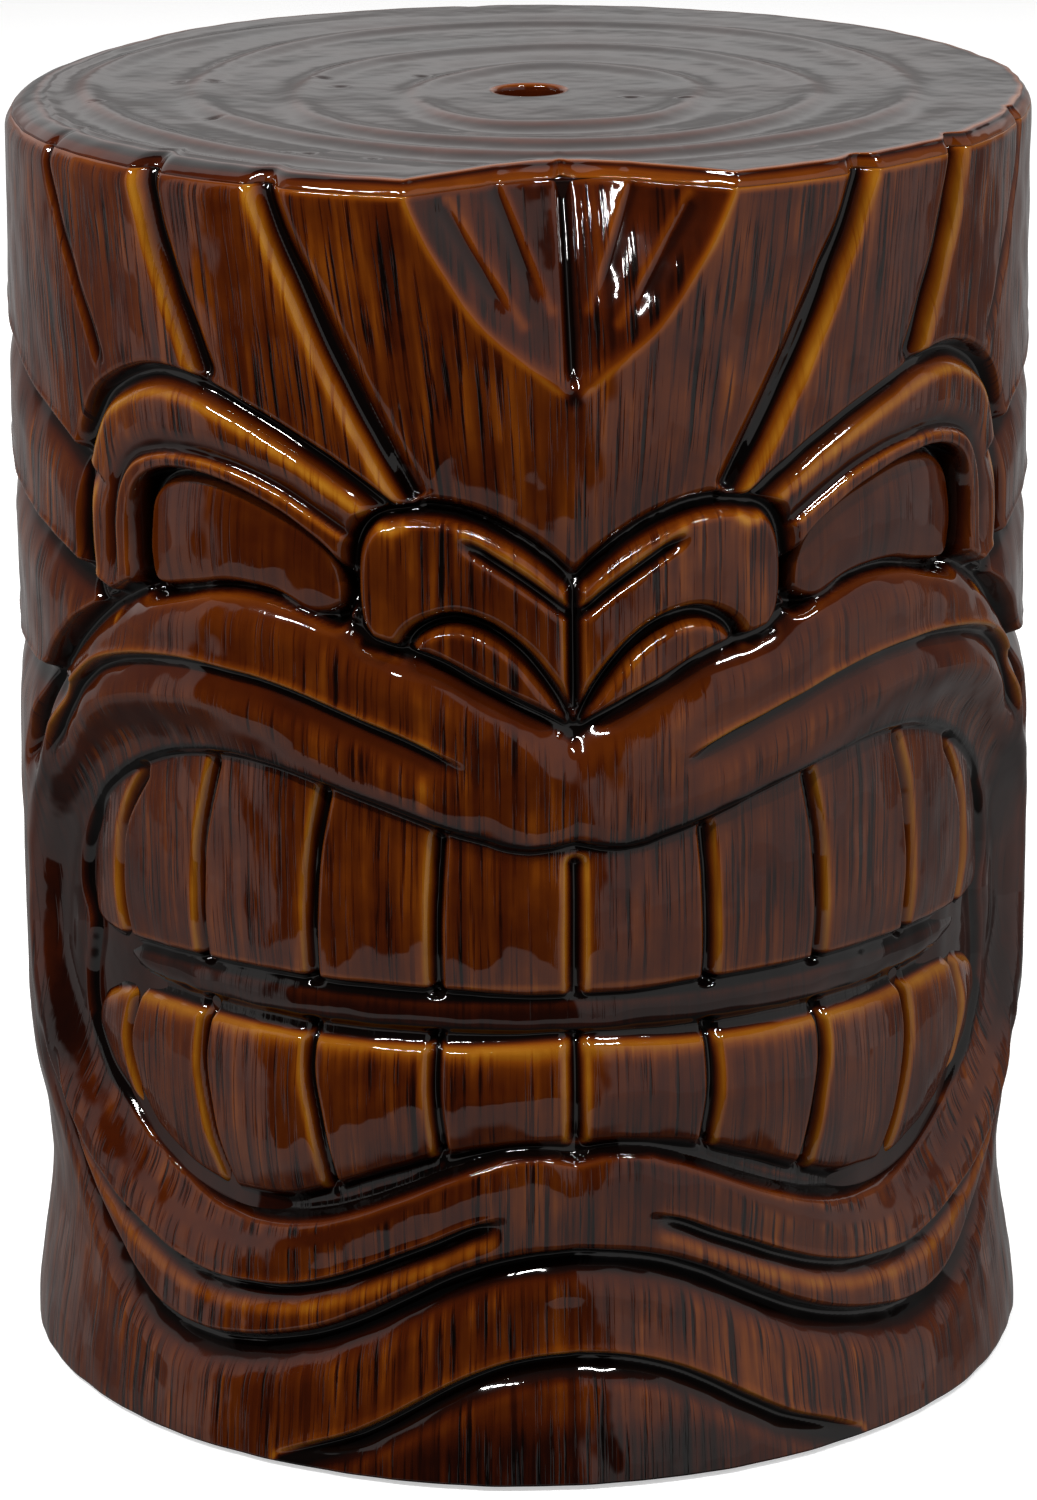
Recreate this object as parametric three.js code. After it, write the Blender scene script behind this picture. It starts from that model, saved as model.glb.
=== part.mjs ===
// Tiki drum stool: a hollow glazed ceramic drum with a carved mask on the front and a closed,
// tree-ring seat on top. Millimetres, +Z up. The mask looks along -Y, and the origin is on the
// floor at the drum's axis.
import * as THREE from 'three';

// ---- Driving dimensions ----
const HEIGHT = 435; // floor to seat
const BODY_RADIUS = 172; // the mask's uncarved skin
const WALL_THICKNESS = 9;
const FOOT_FLARE = 1.8; // how far the foot stands out past the skin
const FOOT_FLARE_HEIGHT = 22;
const WAIST_INSET = 5.5; // the drum draws in above the foot
const WAIST_HEIGHT = 62;
const WAIST_SPREAD = 32;
const CLAY_GAP = 0.3; // joint line between neighbouring pieces
const LOOSE_FIT = 2.5; // room for the slab inside the wall, which slip fills

const SEAT_THICKNESS = 11;
const SEAT_LIP_THICKNESS = 4.5; // the part of the slab that covers the wall's top edge
const SEAT_INSET = 2; // the seat's edge stands in from the wall's skin
const SEAT_ROUNDING = 1.5;
const SEAT_FLAT_RADIUS = 100; // inside this the slab is round; outside it follows the wall
const DRAIN_RADIUS = 11.5;
const DRAIN_CENTRE = new THREE.Vector2(3, -9); // the hole was cut a little off centre
const SEAM_COIL_RADIUS = 4;

const PAD_THICKNESS = 1.7;
const PAD_RADIUS = 7;
const PAD_COUNT = 4;
const FOOT_RING_RADIUS = 155; // outer; the wall's own foot stands outside it
const FOOT_RING_WIDTH = 16;
const FOOT_RING_HEIGHT = 11;

// Mesh fineness: the mask has closer columns than the sides and back.
const MASK_HALF_ANGLE = 75;
const MASK_COLUMN_STEP = 2.5;
const BACK_COLUMNS = 28;
const OUTER_ROWS = 48;
const INNER_ROWS = 8;
const RIM_SEGMENTS = 80;
const RING_SEGMENTS = 48;
const PAD_SEGMENTS = 20;
const COIL_SIDES = 6;
const CURVE_STEPS = 40;

const WALL_BOTTOM = PAD_THICKNESS + CLAY_GAP;
const SEAT_LIP_BOTTOM = HEIGHT - SEAT_LIP_THICKNESS;
const WALL_TOP = SEAT_LIP_BOTTOM - CLAY_GAP;
const SEAT_BOTTOM = HEIGHT - SEAT_THICKNESS;

const { smoothstep, lerp, degToRad, radToDeg } = THREE.MathUtils;

// ---- The carving, drawn on the unrolled skin ----
// Points are [degrees from the mask's centre line, height]. The mask is the same on both sides.
const arcLength = (degrees) => degToRad(degrees) * BODY_RADIUS;

function stroke(points, closed = false) {
  const knots = points.map(([degrees, z]) => new THREE.Vector3(arcLength(degrees), z, 0));
  return new THREE.CatmullRomCurve3(knots, closed, 'centripetal').getPoints(CURVE_STEPS);
}

function distanceTo(curve, x, z) {
  let nearest = Infinity;
  for (let i = 1; i < curve.length; i += 1) {
    const a = curve[i - 1];
    const b = curve[i];
    const dx = b.x - a.x;
    const dz = b.y - a.y;
    const along = THREE.MathUtils.clamp(((x - a.x) * dx + (z - a.y) * dz) / (dx * dx + dz * dz), 0, 1);
    nearest = Math.min(nearest, Math.hypot(a.x + along * dx - x, a.y + along * dz - z));
  }
  return nearest;
}

function isInside(curve, x, z) {
  let inside = false;
  for (let i = 1; i < curve.length; i += 1) {
    const a = curve[i - 1];
    const b = curve[i];
    if (a.y > z !== b.y > z && x < a.x + ((z - a.y) / (b.y - a.y)) * (b.x - a.x)) {
      inside = !inside;
    }
  }
  return inside;
}

// The tuft of hair above the forehead is one wide scoop that deepens towards the rim.
const TUFT_APEX = 368;
const TUFT_HALF_ANGLE = 17.5;
const TUFT_DEPTH = 34;
const TUFT_WIDENING = 0.55; // below 1 the scoop's outline bows outwards

function tuftDepth(degrees, z) {
  const rise = Math.max(0, (z - TUFT_APEX) / (HEIGHT - TUFT_APEX));
  const halfAngle = TUFT_HALF_ANGLE * rise ** TUFT_WIDENING;
  if (degrees >= halfAngle) {
    return 0;
  }
  return TUFT_DEPTH * rise * Math.cos((Math.PI / 2) * (degrees / halfAngle));
}

// The teeth lie on a flatter curve than the drum, so they sink deeper towards the mouth's corners.
const mouthSink = (degrees) => 10 * smoothstep(degrees, 5, 50);

// Panels are carved in this order, each one down (or back up) to its own floor.
const PANELS = [
  { // eye socket
    outline: [[24, 296], [23, 318], [30, 337], [38, 343], [48, 342], [56, 334], [59, 316], [58, 298],
      [53, 291], [44, 297], [34, 297]],
    floor: () => 13,
    slope: 12,
  },
  { // eyeball
    outline: [[27, 297], [27, 313], [33, 323], [41, 330], [49, 331], [53, 318], [53, 300], [44, 301],
      [35, 301]],
    floor: () => 5,
    slope: 11,
  },
  { // hollow under the nose
    outline: [[-4, 258], [4, 268], [12, 276], [18, 286], [16, 293], [12, 297], [7, 289], [3, 277],
      [-4, 266]],
    floor: () => 9,
    slope: 9,
  },
  { // mouth cavity
    outline: [[-8, 221], [6, 223], [15, 229], [25, 239], [34, 244], [45, 243], [54, 237], [60, 222],
      [62, 200], [61, 165], [60, 140], [55, 112], [47, 91], [39, 85], [30, 92], [20, 104], [10, 115],
      [-8, 119]],
    floor: (degrees) => 9 + mouthSink(degrees),
    slope: 11,
  },
  { // upper row of teeth
    outline: [[-8, 216], [13, 219], [27, 229], [40, 236], [50, 228], [57, 208], [58, 176], [40, 170],
      [-8, 171]],
    floor: (degrees) => 3 + mouthSink(degrees),
    slope: 9,
  },
  { // lower row of teeth
    outline: [[-8, 154], [30, 152], [57, 150], [57, 133], [52, 110], [42, 92], [32, 96], [20, 110],
      [10, 118], [-8, 121]],
    floor: (degrees) => 3 + mouthSink(degrees),
    slope: 9,
  },
];

// Gouge lines. Width is the distance at which the line has faded to a third of its depth.
const GROOVES = [
  { name: 'inner hair strand', depth: 5, width: 6, points: [[18, 335], [23, 368], [28.5, 400], [33, 433]] },
  { name: 'middle hair strand', depth: 5, width: 6, points: [[42, 370], [46, 396], [50, 433]] },
  { name: 'outer hair strand', depth: 5, width: 6, points: [[56, 370], [61, 392], [68, 433]] },
  { name: 'brow', depth: 5, width: 6, points: [[20, 334], [30, 351], [40, 362], [50, 365], [58, 354]] },
  { name: 'nose', depth: 6, width: 6, points: [[0, 309], [6, 323], [14, 331], [21, 325], [25, 308],
    [23, 287]] },
  { name: 'cheek', depth: 6, width: 6, points: [[0, 258], [10, 271], [20, 284], [27, 296], [38, 300],
    [50, 294], [60, 278], [70, 256], [75, 235]] },
  { name: 'upper lip crease', depth: 3, width: 6, points: [[12, 246], [22, 258], [34, 268], [46, 271],
    [56, 263], [64, 250]] },
  { name: 'lower lip crease', depth: 3, width: 6, points: [[7, 94], [16, 83], [26, 69], [36, 61], [46, 59],
    [55, 66], [65, 79]] },
  { name: 'chin roll', depth: 5, width: 7, points: [[0, 79], [10, 74], [20, 60], [30, 46], [40, 38],
    [50, 38], [60, 50], [68, 66]] },
  { name: 'chin', depth: 4, width: 7, points: [[0, 44], [8, 40], [17, 28], [26, 12]] },
  ...[0, 15, 30, 45].flatMap((degrees) => [
    { name: 'upper teeth', depth: 6, width: 4, points: [[degrees, 218], [degrees, 172]] },
    { name: 'lower teeth', depth: 6, width: 4, points: [[degrees, 154], [degrees, 118]] },
  ]),
];

// Locks of hair sweep back from the mask and meet at the back's centre line.
const LOCK_ROOTS = [[60, 334], [57, 291], [70, 250]];
const LOCK_RISE = [62, 44, 28];
LOCK_ROOTS.forEach(([degrees, z], i) => {
  const back = z + LOCK_RISE[i];
  const quarter = z + LOCK_RISE[i] * 0.45;
  GROOVES.push({ name: 'lock', depth: 5, width: 7, points: [[degrees, z], [85, quarter], [180, back]] });
});

for (const panel of PANELS) {
  panel.curve = stroke(panel.outline, true);
}
for (const groove of GROOVES) {
  groove.curve = stroke(groove.points);
}

function carvedDepth(angle, z) {
  const degrees = Math.abs(radToDeg(angle));
  const x = arcLength(degrees);
  let depth = tuftDepth(degrees, z);
  for (const panel of PANELS) {
    const distance = distanceTo(panel.curve, x, z);
    const signed = isInside(panel.curve, x, z) ? distance : -distance;
    depth = lerp(depth, panel.floor(degrees), smoothstep(signed, -panel.slope / 2, panel.slope / 2));
  }
  for (const groove of GROOVES) {
    depth += groove.depth * Math.exp(-((distanceTo(groove.curve, x, z) / groove.width) ** 2));
  }
  return depth;
}

// ---- Radii of the drum ----
function skinRadius(z) {
  const waist = WAIST_INSET * Math.exp(-(((z - WAIST_HEIGHT) / WAIST_SPREAD) ** 2));
  const flare = FOOT_FLARE * Math.exp(-((z / FOOT_FLARE_HEIGHT) ** 2));
  return BODY_RADIUS - waist + flare;
}

// The carving fades out over the foot, so the drum stands on a round rim.
function outerRadius(angle, z) {
  return skinRadius(z) - carvedDepth(angle, z) * smoothstep(z, WALL_BOTTOM, 14);
}

// The cast wall follows the deep hollows from behind and bridges the narrow gouges.
const BRIDGE_ANGLE = degToRad(5);
const BRIDGE_HEIGHT = 14;

function innerRadius(angle, z) {
  let thinnest = Infinity;
  for (const turn of [-BRIDGE_ANGLE, 0, BRIDGE_ANGLE]) {
    for (const shift of [-BRIDGE_HEIGHT, 0, BRIDGE_HEIGHT]) {
      const nearby = THREE.MathUtils.clamp(z + shift, WALL_BOTTOM, WALL_TOP);
      thinnest = Math.min(thinnest, outerRadius(angle + turn, nearby));
    }
  }
  return thinnest - WALL_THICKNESS;
}

// The clear opening just under the rim, which the seat slab and its seam have to fit.
function rimOpening(angle) {
  const seamBottom = SEAT_BOTTOM - CLAY_GAP - 2 * SEAM_COIL_RADIUS;
  const heights = [seamBottom, SEAT_BOTTOM, WALL_TOP];
  return Math.min(...heights.map((z) => innerRadius(angle, z)));
}

// ---- Building blocks ----
// A ring turned from a closed profile of [radius, height] points, then reshaped point by point.
function turnedRing(profile, segments, reshape) {
  const closed = [...profile, profile[0]].map(([radius, z]) => new THREE.Vector2(radius, z));
  const geometry = new THREE.LatheGeometry(closed, segments);
  geometry.rotateX(Math.PI / 2); // the lathe turns about Y; stand it up
  const position = geometry.attributes.position;
  for (let i = 0; i < position.count; i += 1) {
    const x = position.getX(i);
    const y = position.getY(i);
    const angle = Math.atan2(x, -y);
    const moved = reshape(angle, Math.hypot(x, y), position.getZ(i));
    const { x: shiftX, y: shiftY } = moved.shift ?? { x: 0, y: 0 };
    const newX = moved.radius * Math.sin(moved.angle) + shiftX;
    const newY = -moved.radius * Math.cos(moved.angle) + shiftY;
    position.setXY(i, newX, newY);
  }
  geometry.computeVertexNormals();
  return geometry;
}

function part(name, geometry, material) {
  const mesh = new THREE.Mesh(geometry, material);
  mesh.name = name;
  return mesh;
}

const glaze = () => new THREE.MeshStandardMaterial({ color: 0x4a2412, roughness: 0.12, metalness: 0 });
const bareClay = () => new THREE.MeshStandardMaterial({ color: 0xc9b39a, roughness: 0.85, metalness: 0 });
const rubber = () => new THREE.MeshStandardMaterial({ color: 0x2a2a2a, roughness: 0.7, metalness: 0 });

// ---- The pieces ----
function drumWall() {
  const maskColumns = (2 * MASK_HALF_ANGLE) / MASK_COLUMN_STEP;
  const columns = maskColumns + BACK_COLUMNS;
  const evenStep = 360 / columns;
  const maskEdge = (maskColumns / 2) * evenStep;

  // Even columns are crowded into the mask and spread over the back.
  const columnAngle = (angle) => {
    const even = radToDeg(angle);
    const past = Math.max(0, Math.abs(even) - maskEdge);
    const within = Math.min(Math.abs(even), maskEdge);
    const degrees = within * (MASK_HALF_ANGLE / maskEdge)
      + past * ((180 - MASK_HALF_ANGLE) / (180 - maskEdge));
    return degToRad(Math.sign(even) * degrees);
  };

  const OUTER = 2;
  const INNER = 1;
  const rowHeight = (row, rows) => lerp(WALL_BOTTOM, WALL_TOP, row / rows);
  const profile = [];
  for (let row = 0; row <= OUTER_ROWS; row += 1) {
    profile.push([OUTER, rowHeight(row, OUTER_ROWS)]);
  }
  for (let row = INNER_ROWS; row >= 0; row -= 1) {
    profile.push([INNER, rowHeight(row, INNER_ROWS)]);
  }
  return turnedRing(profile, columns, (angle, side, z) => {
    const placed = columnAngle(angle);
    const isOuter = side > (OUTER + INNER) / 2;
    return { angle: placed, radius: isOuter ? outerRadius(placed, z) : innerRadius(placed, z) };
  });
}

// The slab covers the wall's top edge, and its thicker middle drops inside the wall.
function seatSlab() {
  const edge = BODY_RADIUS - SEAT_INSET;
  const plug = edge - WALL_THICKNESS;
  const profile = [
    [DRAIN_RADIUS, SEAT_BOTTOM],
    [SEAT_FLAT_RADIUS, SEAT_BOTTOM],
    [plug, SEAT_BOTTOM],
    [plug, SEAT_LIP_BOTTOM],
    [edge, SEAT_LIP_BOTTOM],
    [edge, HEIGHT - SEAT_ROUNDING],
    [edge - SEAT_ROUNDING, HEIGHT],
    [SEAT_FLAT_RADIUS, HEIGHT],
    [DRAIN_RADIUS, HEIGHT],
  ];
  return turnedRing(profile, RIM_SEGMENTS, (angle, radius) => {
    if (radius > plug + SEAT_ROUNDING) {
      return { angle, radius: radius - tuftDepth(Math.abs(radToDeg(angle)), HEIGHT) };
    }
    if (radius > SEAT_FLAT_RADIUS + SEAT_ROUNDING) {
      return { angle, radius: rimOpening(angle) - LOOSE_FIT };
    }
    return radius < SEAT_FLAT_RADIUS - SEAT_ROUNDING
      ? { angle, radius, shift: DRAIN_CENTRE }
      : { angle, radius };
  });
}

// A rolled coil of clay that seals the inside corner between the wall and the slab.
function seamCoil() {
  const height = SEAT_BOTTOM - CLAY_GAP - SEAM_COIL_RADIUS;
  const profile = Array.from({ length: COIL_SIDES }, (_, side) => {
    const turn = (side / COIL_SIDES) * 2 * Math.PI;
    return [BODY_RADIUS + SEAM_COIL_RADIUS * Math.cos(turn), height + SEAM_COIL_RADIUS * Math.sin(turn)];
  });
  return turnedRing(profile, RIM_SEGMENTS, (angle, radius) => ({
    angle,
    radius: radius - BODY_RADIUS + rimOpening(angle) - LOOSE_FIT - SEAM_COIL_RADIUS,
  }));
}

// The bare rim, turned in under the wall, that takes the stool's weight.
function footRing() {
  const inner = FOOT_RING_RADIUS - FOOT_RING_WIDTH;
  const profile = [
    [inner, WALL_BOTTOM],
    [FOOT_RING_RADIUS, WALL_BOTTOM],
    [FOOT_RING_RADIUS, WALL_BOTTOM + FOOT_RING_HEIGHT],
    [inner, WALL_BOTTOM + FOOT_RING_HEIGHT],
  ];
  return turnedRing(profile, RING_SEGMENTS, (angle, radius) => ({ angle, radius }));
}

// Stick-on bumpers under the foot ring keep the clay off the floor.
function footPad(name, turn) {
  const circle = FOOT_RING_RADIUS - FOOT_RING_WIDTH / 2;
  const geometry = new THREE.CylinderGeometry(PAD_RADIUS, PAD_RADIUS, PAD_THICKNESS, PAD_SEGMENTS);
  const pad = part(name, geometry, rubber());
  pad.rotation.x = Math.PI / 2;
  pad.position.set(circle * Math.cos(turn), circle * Math.sin(turn), PAD_THICKNESS / 2);
  return pad;
}

const drum = new THREE.Group();
drum.add(part('drum_wall', drumWall(), glaze()));
drum.add(part('seat_slab', seatSlab(), glaze()));
drum.add(part('seam_coil', seamCoil(), bareClay()));
drum.add(part('foot_ring', footRing(), bareClay()));

for (let i = 0; i < PAD_COUNT; i += 1) {
  drum.add(footPad(`foot_pad_${i + 1}`, ((i + 0.5) / PAD_COUNT) * 2 * Math.PI));
}

export default drum;
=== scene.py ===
import math

import bpy
import numpy as np
from mathutils import Matrix, Vector


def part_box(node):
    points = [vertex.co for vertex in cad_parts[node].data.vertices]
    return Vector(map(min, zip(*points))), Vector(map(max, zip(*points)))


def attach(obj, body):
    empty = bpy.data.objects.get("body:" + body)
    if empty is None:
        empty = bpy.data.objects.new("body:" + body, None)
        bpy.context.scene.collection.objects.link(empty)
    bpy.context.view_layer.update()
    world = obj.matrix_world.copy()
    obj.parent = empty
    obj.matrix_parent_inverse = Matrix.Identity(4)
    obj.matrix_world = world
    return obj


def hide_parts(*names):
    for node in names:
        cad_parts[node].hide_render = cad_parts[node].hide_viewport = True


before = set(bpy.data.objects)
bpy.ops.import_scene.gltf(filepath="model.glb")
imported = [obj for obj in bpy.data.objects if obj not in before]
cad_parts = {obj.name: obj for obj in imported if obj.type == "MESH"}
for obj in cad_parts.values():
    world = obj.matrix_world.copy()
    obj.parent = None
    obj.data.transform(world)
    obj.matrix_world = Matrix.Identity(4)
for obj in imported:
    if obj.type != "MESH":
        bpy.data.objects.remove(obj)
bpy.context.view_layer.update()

MM = 0.001

# ---------------------------------------------------------------- sizes, from the frame
WALL_LOW, WALL_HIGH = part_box("drum_wall")
SEAT_LOW, SEAT_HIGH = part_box("seat_slab")
FOOT_RADIUS = (WALL_HIGH.x - WALL_LOW.x) / 2 / MM
FOOT_PAST_SKIN = 1.6
SKIN_RADIUS = FOOT_RADIUS - FOOT_PAST_SKIN
HEIGHT = SEAT_HIGH.z / MM
WALL_BOTTOM = WALL_LOW.z / MM
WALL_TOP = WALL_HIGH.z / MM
SEAT_BOTTOM = SEAT_LOW.z / MM
WALL_THICKNESS = 9.0
SEAT_HOLE_RADIUS = 11.5
SEAT_PLUG_RADIUS = 125.0  # of the part of the slab that sits inside the wall
DRAIN_CENTRE = (3.0, -9.0)

# the drum draws in above the foot, and flares again at it
WAIST_INSET = 5.5
WAIST_HEIGHT = 62.0
WAIST_SPREAD = 32.0
FOOT_FLARE = 1.8
FOOT_FLARE_HEIGHT = 22.0

# ---------------------------------------------------------------- the carving, on the unrolled skin
COARSER = 1.0
MASK_EDGE = 88.0  # degrees; the mask needs a finer mesh than the back
MASK_STEP = 0.7 * COARSER
BACK_STEP = 1.3 * COARSER
ROW_STEP = 0.7 * COARSER
SPLINE_STEPS = 7  # straight pieces between two points of an outline

DEGREE = math.pi * SKIN_RADIUS / 180.0  # millimetres of skin in one degree

# half of the skin, from the mask's centre line round to the back's
MASK_COLUMNS = np.arange(0.0, MASK_EDGE * DEGREE, MASK_STEP)
BACK_COUNT = int((180.0 * DEGREE - MASK_COLUMNS[-1]) / BACK_STEP)
X = np.concatenate([MASK_COLUMNS, np.linspace(MASK_COLUMNS[-1], 180.0 * DEGREE, BACK_COUNT + 1)[1:]])
ROW_COUNT = int((WALL_TOP - WALL_BOTTOM) / ROW_STEP)
Z = np.linspace(WALL_BOTTOM, WALL_TOP, ROW_COUNT)
XX, ZZ = np.meshgrid(X, Z)
DEG = XX / DEGREE


def smooth(low, high, value):
    t = np.clip((value - low) / (high - low), 0.0, 1.0)
    return t * t * (3.0 - 2.0 * t)


def hump(value, centre, width):
    """1 at the centre, falling off to nothing a few widths away."""
    return np.exp(-(((value - centre) / width) ** 2))


def spline(points, closed=False):
    """Catmull-Rom curve through [degrees from the centre line, height] points, in millimetres."""
    p = np.array(points, float) * [DEGREE, 1.0]
    if closed:
        p = np.vstack([p[-1], p, p[0], p[1]])
    else:
        p = np.vstack([2 * p[0] - p[1], p, 2 * p[-1] - p[-2]])
    t = np.linspace(0.0, 1.0, SPLINE_STEPS, endpoint=False)[:, None]
    pieces = []
    for a, b, c, d in zip(p, p[1:], p[2:], p[3:]):
        pieces.append(0.5 * (2 * b + (c - a) * t + (2 * a - 5 * b + 4 * c - d) * t ** 2
                             + (3 * b - a - 3 * c + d) * t ** 3))
    return np.vstack([*pieces, p[-2][None]])


def measure(line, reach):
    """For every point of the skin: distance to the line (positive on its left), and how far along.

    The third result is the line's length. Points farther than reach are all given reach itself.
    """
    signed = np.full(XX.shape, reach)
    along = np.zeros(XX.shape)
    travelled = 0.0
    for a, b in zip(line, line[1:]):
        length = math.hypot(*(b - a))
        if length < 1e-6:
            continue
        low, high = np.minimum(a, b) - reach, np.maximum(a, b) + reach
        cols = slice(*np.searchsorted(X, [low[0], high[0]]))
        rows = slice(*np.searchsorted(Z, [low[1], high[1]]))
        x, z = XX[rows, cols] - a[0], ZZ[rows, cols] - a[1]
        ux, uz = (b - a) / length
        t = np.clip(x * ux + z * uz, 0.0, length)
        distance = np.hypot(x - t * ux, z - t * uz)
        side = np.where(ux * z - uz * x >= 0.0, 1.0, -1.0)
        nearer = distance < np.abs(signed[rows, cols]) - 1e-9
        signed[rows, cols] = np.where(nearer, side * distance, signed[rows, cols])
        along[rows, cols] = np.where(nearer, travelled + t, along[rows, cols])
        travelled += length
    return signed, along, travelled


def inside(line):
    result = np.zeros(XX.shape, bool)
    for a, b in zip(line, line[1:]):
        if a[1] == b[1]:
            continue
        rows = slice(*np.searchsorted(Z, sorted([a[1], b[1]])))
        crossing = a[0] + (Z[rows] - a[1]) / (b[1] - a[1]) * (b[0] - a[0])
        result[rows] ^= X[None, :] < crossing[:, None]
    return result


class Carving:
    """How deep the skin is cut, and how the glaze lies on it.

    pool is 1 where glaze has gathered and runs black, and also where a shadow under the chin is painted in,
    honey is 1 where it has run thin over an edge, and grain is 1 where the chisel strokes show.
    """

    SHORE = 0.8  # how far past a gouge's floor dark glaze comes at least
    CREST_AT = 0.7  # glaze runs thinnest this far up a gouge's wall
    CREST_WIDTH = 0.6  # over this width, and more on a wider wall
    CREST_WIDENING = 0.14
    BEAD_WIDTH = 1.3
    PANEL_EDGE_WIDTH = 1.4  # of the thin glaze along the outside of a panel's edge
    PANEL_EDGE_OUT = 0.8
    PANEL_SLOPE = 4.0  # strokes stop within this width about a panel's edge, at most

    def __init__(self):
        self.level = np.zeros(XX.shape)
        self.line = np.zeros(XX.shape)
        self.pool = np.zeros(XX.shape)
        self.honey = np.zeros(XX.shape)
        self.grain = np.ones(XX.shape)

    def gouge(self, points, depth, left, right, floor=1.2, fade_in=0.0, fade_out=0.0, curve=2.0,
              honey=(0.25, 0.25), dark=1.0, reach=(0.3, 0.3), bead=0.0, soft=1.0):
        """A line cut along the points. Its left and right walls rise over those widths.

        reach is how far up each wall the dark glaze comes (under the chin's arch it is a painted shadow),
        honey how clear it runs at each wall's top and soft how widely, and bead how far the left wall's top
        stands up.
        """
        signed, along, length = measure(spline(points), 1.2 * max(left, right) + floor + 3.0)
        away = np.abs(signed)
        on_left = signed > 0.0
        width = np.where(on_left, left, right)
        strength = np.ones(XX.shape)
        if fade_in:
            strength = strength * smooth(0.0, fade_in, along)
        if fade_out:
            strength = strength * smooth(0.0, fade_out, length - along)
        rise = np.clip((away - floor) / width, 0.0, 1.0)
        np.maximum(self.line, depth * strength * (1.0 - rise) ** curve, out=self.line)
        shore = floor + self.SHORE + width * np.where(on_left, *reach)
        black = dark * strength * (1.0 - smooth(floor * 0.5, shore, away))
        np.maximum(self.pool, black, out=self.pool)
        crest_width = soft * (self.CREST_WIDTH + self.CREST_WIDENING * width)
        crest = hump(away, floor + self.CREST_AT * width, crest_width)
        thin = np.where(on_left, *honey) * strength * crest
        np.maximum(self.honey, thin, out=self.honey)
        if bead:
            self.level -= bead * strength * on_left * hump(away, floor + left, self.BEAD_WIDTH)
        clear = 1.0 - strength * (1.0 - smooth(floor + 0.3 * width, floor + 0.8 * width, away))
        np.minimum(self.grain, clear, out=self.grain)

    def panel(self, points, level, edge, honey=0.0, pool=0.6, pool_width=2.2, shoulder=0.0,
              shoulder_width=1.0, dome=0.0, dome_width=16.0, grain=1.0, raised=False):
        """Takes the area inside the outline to a level of its own, over a sloping edge.

        The ground outside rounds down towards the edge by shoulder, and the panel swells up by dome.
        Glaze pools at the foot of the edge, which is on the outside of a raised panel.
        """
        line = spline(points, closed=True)
        signed, _, _ = measure(line, max(edge, shoulder_width, dome_width) + 4.0)
        signed = np.where(inside(line), np.abs(signed), -np.abs(signed))
        share = smooth(-edge / 2, edge / 2, signed)
        round_off = np.clip(1.0 + (signed + edge / 2) / shoulder_width, 0.0, 1.0) ** 2
        self.level += shoulder * round_off * (1.0 - share)
        swollen = dome * (1.0 - (1.0 - np.clip(signed / dome_width, 0.0, 1.0)) ** 2)
        self.level += (level - swollen - self.level) * share
        for layer, value in ((self.line, 0.0), (self.pool, 0.0), (self.honey, 0.0), (self.grain, grain)):
            layer += (value - layer) * share
        foot = -edge / 2 if raised else edge / 2
        black = pool * (1.0 - smooth(0.6, pool_width, np.abs(signed - foot)))
        np.maximum(self.pool, black, out=self.pool)
        thin = honey * hump(signed, -edge / 2 - self.PANEL_EDGE_OUT, self.PANEL_EDGE_WIDTH)
        np.maximum(self.honey, thin, out=self.honey)
        slope = min(edge, self.PANEL_SLOPE)
        np.minimum(self.grain, smooth(0.3 * slope, 0.9 * slope, np.abs(signed)), out=self.grain)

    def clear(self, points, width, amount=1.0):
        """Lets the glaze run thin along a line."""
        signed, _, _ = measure(spline(points), 3.0 * width)
        np.maximum(self.honey, amount * hump(signed, 0.0, width), out=self.honey)

    def depth(self):
        return self.level + self.line


# the tuft of hair is a scoop that deepens from its apex up to the rim
TUFT_DEPTH = 34.0
TUFT_HEIGHTS = (368.0, 376.0, 383.0, 388.5, 396.5, 408.0, 415.0, 421.0, 428.0, 435.0)
TUFT_HALF_ANGLES = (0.0, 4.0, 7.0, 9.0, 11.2, 13.6, 15.0, 16.0, 17.0, 17.7)


def tuft_half_angle(z):
    return np.interp(z, TUFT_HEIGHTS, TUFT_HALF_ANGLES)


def tuft_depth(degrees, z):
    rise = np.clip((z - TUFT_HEIGHTS[0]) / (HEIGHT - TUFT_HEIGHTS[0]), 0.0, None)
    across = np.clip(degrees / (tuft_half_angle(z) + 1e-6), 0.0, 1.0)
    return TUFT_DEPTH * rise ** 1.3 * np.cos(math.pi / 2 * across) ** 0.85


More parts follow.
